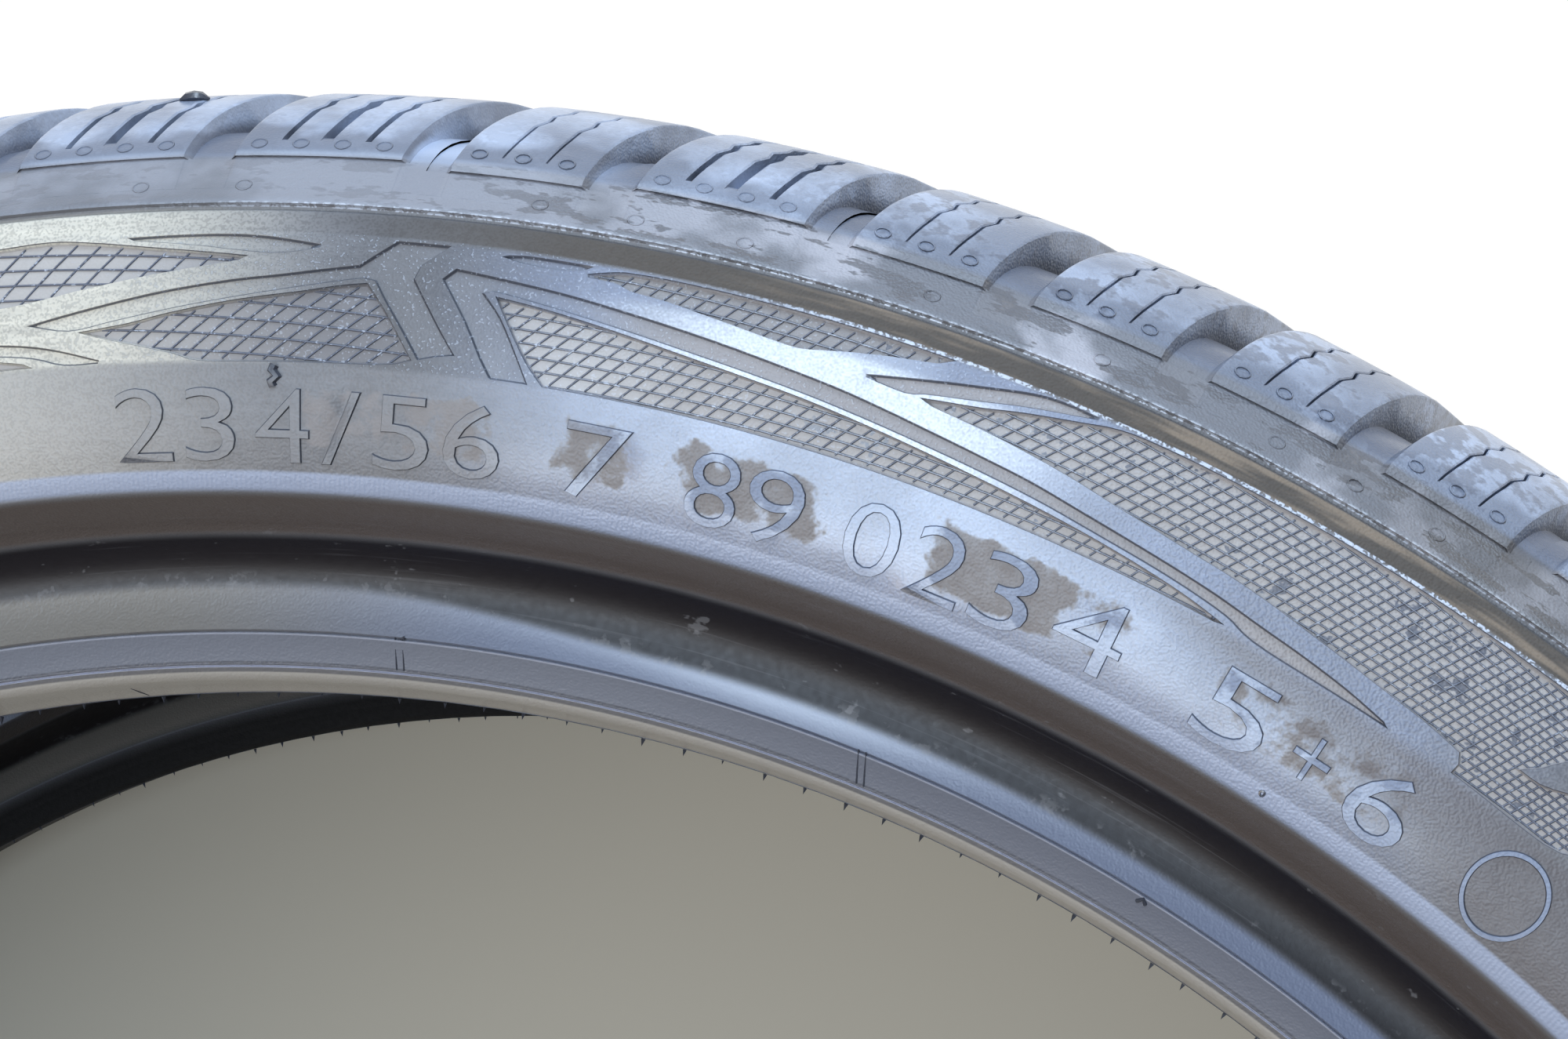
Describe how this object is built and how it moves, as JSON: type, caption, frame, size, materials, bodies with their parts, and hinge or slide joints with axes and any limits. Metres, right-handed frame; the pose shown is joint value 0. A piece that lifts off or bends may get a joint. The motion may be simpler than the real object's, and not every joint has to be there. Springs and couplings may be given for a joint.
{
  "type": "car tyre",
  "caption": "Low-profile radial car tyre, moulded in one piece, with shoulder blocks, circumferential tread grooves, rim protectors and two bead seats.",
  "frame": {"origin": "wheel centre, on the axis in the mid-plane between the two sidewalls", "axes": "+Z along the wheel axis out of the upper sidewall, +Y radially towards the middle of the tread stretch that the picture shows"},
  "size_m": [0.675, 0.675, 0.275],
  "materials": {
    "rubber": "satin"
  },
  "bodies": {
    "root": {"tyre": "rubber"}
  },
  "joints": []
}
